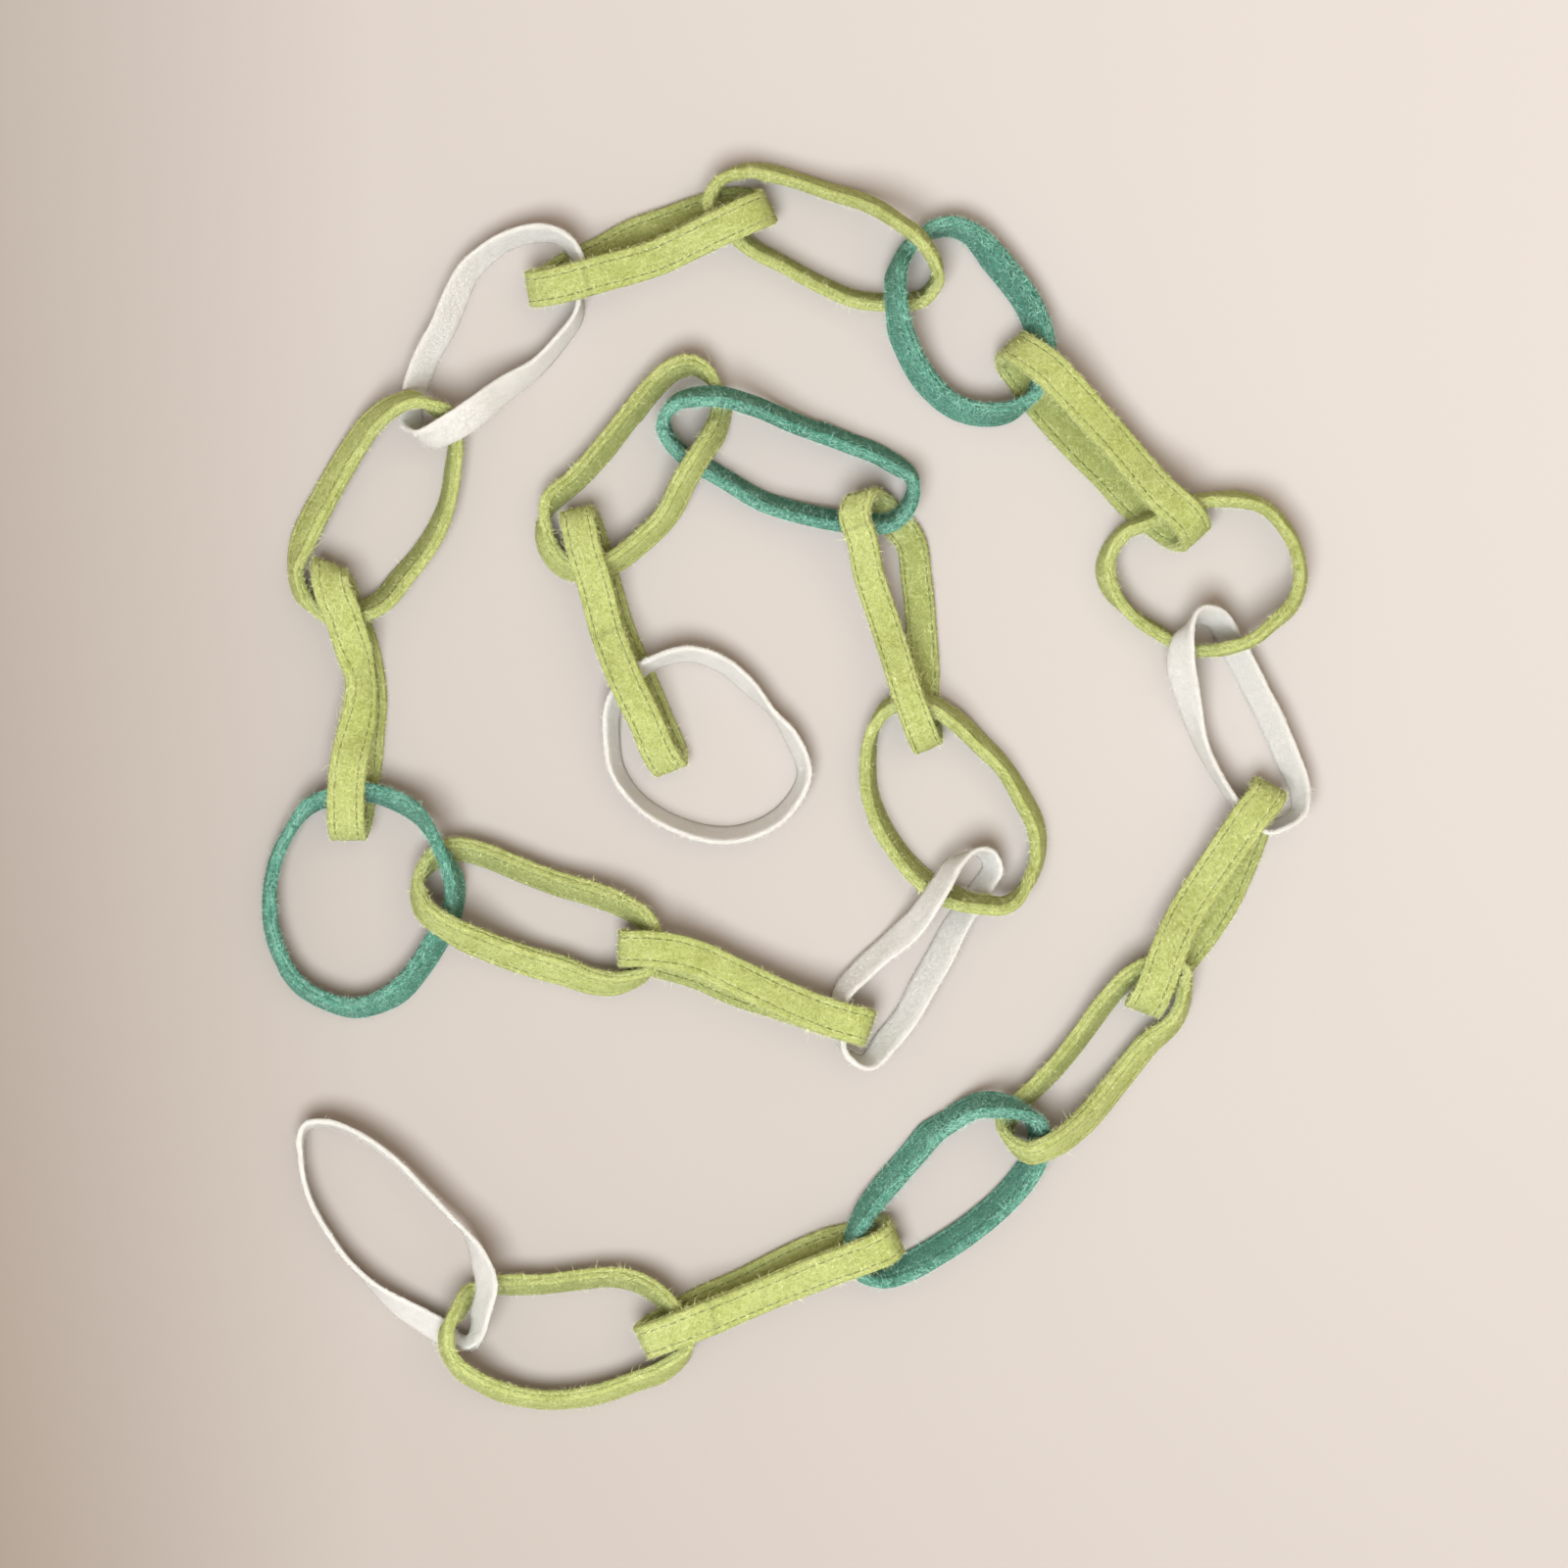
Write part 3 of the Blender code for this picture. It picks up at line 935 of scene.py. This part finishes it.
def fibres(link):
    rings = surfaces[link.name] / MM
    total, count = rings.shape[:2]
    amount = FIBRES[link.colour] * 2
    ring = fibre_rng.integers(0, total, amount)
    point = fibre_rng.integers(0, count, amount)
    base = rings[ring, point]
    ahead = rings[(ring + 1) % total, point] - base
    beside = rings[ring, (point + 1) % count] - rings[ring, point - 1]
    outward = np.cross(beside, ahead)
    outward *= np.sign(np.sum(outward * (base - rings.mean(axis=1)[ring]), axis=1))[:, None]
    ahead, beside, outward = unit(ahead), unit(beside), unit(outward)
    seen = np.flatnonzero(outward[:, 2] > DOWNWARD)[:FIBRES[link.colour]]
    base, ahead, beside, outward = base[seen], ahead[seen], beside[seen], outward[seen]
    amount = len(seen)
    angle = fibre_rng.normal(0, SWERVE, amount)[:, None]
    angle = angle + np.pi * fibre_rng.integers(0, 2, amount)[:, None]
    way = np.cos(angle) * ahead + np.sin(angle) * beside
    long = (fibre_rng.gamma(2.5, 0.48, amount)[:, None] + 0.6) * FIBRE_LONG[link.colour]
    lift = fibre_rng.uniform(0.1, 0.8, amount)[:, None]
    turn = np.cross(outward, way) * fibre_rng.normal(0, 0.4, amount)[:, None]
    wide = np.cross(outward, way) * FIBRE_WIDE[link.colour] / 2
    steps = []
    for t in JOINTS:
        place = base + way * long * t + turn * long * t**2
        place = place + outward * (lift * long * math.sin(math.pi * min(t, 0.8)) * 0.8)
        thin = 1.0 - 0.6 * t
        steps.append(np.stack([place - wide * thin, place + wide * thin], axis=1))
    steps = np.stack(steps)
    steps[..., 2] = np.maximum(steps[..., 2], 0.05)
    joints = steps.reshape(len(JOINTS), -1, 3) * MM
    pairs = [(2 * k, 2 * k + 1) for k in range(amount)]
    piece = sweep(joints, pairs, False, "fuzz_" + link.name[5:])
    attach(piece, "root")
    link.colour + "_felt"
    return piece


fuzz = {link.name: fibres(link) for link in LINKS}
print("fibre faces:", sum(len(piece.data.polygons) for piece in fuzz.values()))

# %% [markdown]
# ## Felt as a material
#
# Sums in a shader are easier to read when they look like sums. `Value` wraps one
# number socket and builds a Math node for every operator used on it. `Felt` wraps
# one material and adds the other nodes.

# %% Shader sums


class Value:
    """One number of a shader; operators on it add Math nodes to its tree."""

    def __init__(self, tree, socket):
        self.tree, self.socket = tree, socket

    def math(self, operation, *others, **settings):
        node = self.tree.nodes.new("ShaderNodeMath")
        node.operation = operation
        for name, setting in settings.items():
            setattr(node, name, setting)
        for place, item in enumerate((self,) + others):
            if isinstance(item, Value):
                self.tree.links.new(item.socket, node.inputs[place])
            else:
                node.inputs[place].default_value = item
        return Value(self.tree, node.outputs[0])

    def __add__(self, other):
        return self.math("ADD", other)

    __radd__ = __add__

    def __sub__(self, other):
        return self.math("SUBTRACT", other)

    def __rsub__(self, other):
        return (self * -1.0) + other

    def __mul__(self, other):
        return self.math("MULTIPLY", other)

    __rmul__ = __mul__

    def __truediv__(self, other):
        return self.math("DIVIDE", other)

    def size(self):
        return self.math("ABSOLUTE")

    def clip(self):
        return self.math("ADD", 0.0, use_clamp=True)

    def under(self, edge, soft):
        """1 where this is well below edge, 0 above it, blended over soft."""
        return ((edge - self) / soft + 0.5).clip()


class Felt:
    """A material with short methods that add nodes to it."""

    def __init__(self, name):
        self.material = bpy.data.materials.new(name)
        self.material.use_nodes = True
        self.tree = self.material.node_tree
        self.shader = self.tree.nodes["Principled BSDF"]

    def feed(self, place, item):
        """Set an input socket to a number or colour, or link it to a node."""
        if isinstance(item, Value):
            self.tree.links.new(item.socket, place)
        elif isinstance(item, bpy.types.NodeSocket):
            self.tree.links.new(item, place)
        else:
            place.default_value = item

    def add(self, kind, settings=(), **inputs):
        node = self.tree.nodes.new(kind)
        for name, setting in dict(settings).items():
            setattr(node, name, setting)
        for name, item in inputs.items():
            self.feed(node.inputs[name.replace("_", " ")], item)
        return node

    def value(self, kind, output, settings=(), **inputs):
        return Value(self.tree, self.add(kind, settings, **inputs).outputs[output])

    def mix(self, factor, first, second):
        node = self.add("ShaderNodeMix", {"data_type": "RGBA", "clamp_factor": True})
        for place, item in ((0, factor), (6, first), (7, second)):
            self.feed(node.inputs[place], item)
        return node.outputs[2]


# %% [markdown]
# ## Colours and surface of the three felts
#
# Noise at several scales gives the felt its clouds, tufts and fibres. Painted
# shade darkens the middle of every cut edge, most in the groove of the stitched
# strips, and on green and teal strips the face inside the loop. The stitches are
# short dark dashes along two lines of the strip, with a faint painted shade on
# the line between them.
# They are read from the strip's own UV map, whose numbers are millimetres along
# and across the strip.

# %% Felt materials
Dye = namedtuple("Dye", "light dark fibre shade")
DYES = {
    "green": Dye(light=(0.625, 0.720, 0.235, 1), dark=(0.340, 0.400, 0.052, 1),
                 fibre=(0.760, 0.810, 0.400, 1), shade=(0.110, 0.135, 0.010, 1)),
    "teal": Dye(light=(0.070, 0.375, 0.262, 1), dark=(0.010, 0.110, 0.066, 1),
                fibre=(0.330, 0.660, 0.540, 1), shade=(0.004, 0.040, 0.024, 1)),
    "white": Dye(light=(0.955, 0.950, 0.930, 1), dark=(0.850, 0.840, 0.800, 1),
                 fibre=(0.950, 0.940, 0.890, 1), shade=(0.420, 0.400, 0.330, 1)),
}
PITCH = 3.9            # from one stitch to the next
STITCH_SHARE = 0.32    # half of the share of the pitch that the stitch covers
STITCH_HALF = 0.26     # half the width of the thread
# Painted shade on the face inside the loop, as a share of the way to the shade colour.
INNER_SHADE = {"green": 0.22, "teal": 0.12, "white": 0.0}    # how much darker the inner face is


def woollen(name):
    """A matt material with the faint sheen of wool."""
    felt = Felt(name)
    felt.shader.inputs["Roughness"].default_value = 0.95
    felt.shader.inputs["Specular IOR Level"].default_value = 0.15
    felt.shader.inputs["Sheen Weight"].default_value = 0.12
    felt.shader.inputs["Sheen Roughness"].default_value = 0.6
    return felt


def fuzz_material(colour):
    felt = woollen(colour + "_fuzz")
    felt.shader.inputs["Base Color"].default_value = DYES[colour].fibre
    return felt.material


def felt_material(colour):
    dye = DYES[colour]
    felt = woollen(colour + "_felt_cloth")
    spot = felt.add("ShaderNodeTexCoord").outputs["Object"]
    clouds = felt.value("ShaderNodeTexNoise", "Fac", Vector=spot, Scale=90.0, Detail=3.0)
    wool = felt.value("ShaderNodeTexNoise", "Fac", Vector=spot, Scale=1100.0, Detail=4.0,
                      Roughness=0.7, Distortion=1.6)
    hair = felt.value("ShaderNodeTexNoise", "Fac", Vector=spot, Scale=520.0, Detail=2.0,
                      Roughness=0.5, Distortion=6.0)
    curl = felt.value("ShaderNodeTexNoise", "Fac", Vector=spot, Scale=820.0, Detail=1.0,
                      Roughness=0.5, Distortion=9.0)
    long_strand = (hair - 0.5).size().under(0.018, 0.02)
    fine_strand = (curl - 0.5).size().under(0.02, 0.02)
    strand = long_strand.math("MAXIMUM", fine_strand)
    uv = felt.add("ShaderNodeUVMap", {"uv_map": "strip"}).outputs["UV"]
    parts = felt.add("ShaderNodeSeparateXYZ", Vector=uv)
    run = Value(felt.tree, parts.outputs["X"])
    across = Value(felt.tree, parts.outputs["Y"])
    groove = felt.value("ShaderNodeAttribute", "Fac", {"attribute_name": "groove"})
    seam = felt.value("ShaderNodeAttribute", "Fac", {"attribute_name": "seam"})
    inner = felt.value("ShaderNodeAttribute", "Fac", {"attribute_name": "inner"})
    tuft = felt.value("ShaderNodeTexNoise", "Fac", Vector=spot, Scale=330.0, Detail=3.0,
                      Roughness=0.6, Distortion=0.8)
    tone = ((clouds - 0.5) * 1.0 + (tuft - 0.5) * 1.4 + (wool - 0.5) * 4.2 + 0.60).clip()
    colour_now = felt.mix(tone, dye.dark, dye.light)
    colour_now = felt.mix(strand * 0.40, colour_now, dye.fibre)
    height = wool * 0.6 + tuft * 0.7 + strand * 0.25
    if colour != "white":
        from_row = (across.size() - STITCH_ROW).size()
        beat = (run / PITCH).math("FRACT")
        dash = (beat - 0.5).size().under(STITCH_SHARE, 0.08)
        line = from_row.under(STITCH_HALF, 0.26)
        stitch = line * dash
        dent_and_shade = line * (1.0 - dash)
        # Between the dashes the line is a dent in the bump and gets a faint painted shade.
        colour_now = felt.mix((stitch * 0.6 + dent_and_shade * 0.08).clip(), colour_now, dye.shade)
        height = height - stitch * 1.0 - dent_and_shade * 0.25
    # Painted shade: the groove share darkens the cut edges and the inner share the face inside the
    # loop; the seam share is the dark line at the end of the overlap.
    shaded = (groove * 0.32 + seam * 0.3 + inner * INNER_SHADE[colour]).clip()
    colour_now = felt.mix(shaded, colour_now, dye.shade)
    bump = felt.add("ShaderNodeBump", Height=height, Strength=0.9, Distance=0.0011)
    felt.tree.links.new(colour_now, felt.shader.inputs["Base Color"])
    felt.tree.links.new(bump.outputs["Normal"], felt.shader.inputs["Normal"])
    return felt.material


for colour in DYES:
    cloth = felt_material(colour)
    hairs = fuzz_material(colour)
    for link in LINKS:
        if link.colour == colour:
            strips[link.name].data.materials.append(cloth)
            fuzz[link.name].data.materials.append(hairs)
print("materials:", [m.name for m in bpy.data.materials])

# %% [markdown]
# ## Table, light and camera
#
# The garland is seen straight from above on a pale table. Painted shade darkens
# the table's colour towards the left and the bottom, with a sharper step at the far
# left, where the light falls off. A large soft light above the near side draws the
# shadows away from it, and a faint warm one on the right fills them.

# %% Stage
VIEW = 0.640           # width of the picture on the table, in metres
SENSOR = 36.0
LENS = 100.0
MIDDLE_HEIGHT = 0.012  # the picture's width is measured at this height


def stage_plane(name, reach):
    body = bmesh.new()
    bmesh.ops.create_grid(body, x_segments=1, y_segments=1, size=reach)
    mesh = bpy.data.meshes.new(name)
    body.to_mesh(mesh)
    body.free()
    plane = bpy.data.objects.new(name, mesh)
    bpy.context.scene.collection.objects.link(plane)
    return plane


table_top = stage_plane("table_top", 12.0)
paint = Felt("pale_table")
paint.shader.inputs["Roughness"].default_value = 0.9
paint.shader.inputs["Specular IOR Level"].default_value = 0.1
spot = paint.add("ShaderNodeSeparateXYZ", Vector=paint.add("ShaderNodeTexCoord").outputs["Object"])
right = Value(paint.tree, spot.outputs["X"])
up = Value(paint.tree, spot.outputs["Y"])
# Painted shade: the table's colour darkens towards the left and the bottom, with a sharper step at
# the far left, where the light falls off.
edge = ((right + 0.33) / 0.16).clip()
painted_falloff = (edge * 0.27 + right * 0.5 + up * 0.5 + 0.37).clip()
tint = paint.mix(painted_falloff, (0.192, 0.159, 0.132, 1), (0.485, 0.462, 0.452, 1))
paint.tree.links.new(tint, paint.shader.inputs["Base Color"])
table_top.data.materials.append(paint.material)


def soft_light(name, place, size, power, colour):
    lamp = bpy.data.lights.new(name, "AREA")
    lamp.shape = "DISK"
    lamp.size = size
    lamp.energy = power
    lamp.color = colour
    holder = bpy.data.objects.new(name, lamp)
    holder.location = place
    away = -np.array(place) / np.linalg.norm(place)
    yaw = math.atan2(-away[1], -away[0]) + math.pi / 2
    tilt = math.acos(-away[2])
    holder.rotation_euler = (tilt, 0, yaw)
    bpy.context.scene.collection.objects.link(holder)
    return holder


soft_light("key", (-0.22, -0.72, 2.00), 1.15, 72, (0.930, 0.975, 1.0))
soft_light("fill", (0.7, 0.2, 1.9), 1.8, 9, (1.0, 0.82, 0.66))
world = bpy.data.worlds.new("room")
world.use_nodes = True
sky = world.node_tree.nodes["Background"]
sky.inputs["Color"].default_value = (1.0, 0.800, 0.620, 1)
sky.inputs["Strength"].default_value = 0.62
bpy.context.scene.world = world
bpy.context.scene.view_settings.view_transform = "Standard"

camera = bpy.data.objects.new("camera", bpy.data.cameras.new("camera"))
camera.data.sensor_width = SENSOR
camera.data.lens = LENS
camera.location = (-0.0005, 0.001, VIEW * LENS / SENSOR + MIDDLE_HEIGHT)
bpy.context.scene.collection.objects.link(camera)
bpy.context.scene.camera = camera
print("camera at", [round(v, 3) for v in camera.location])
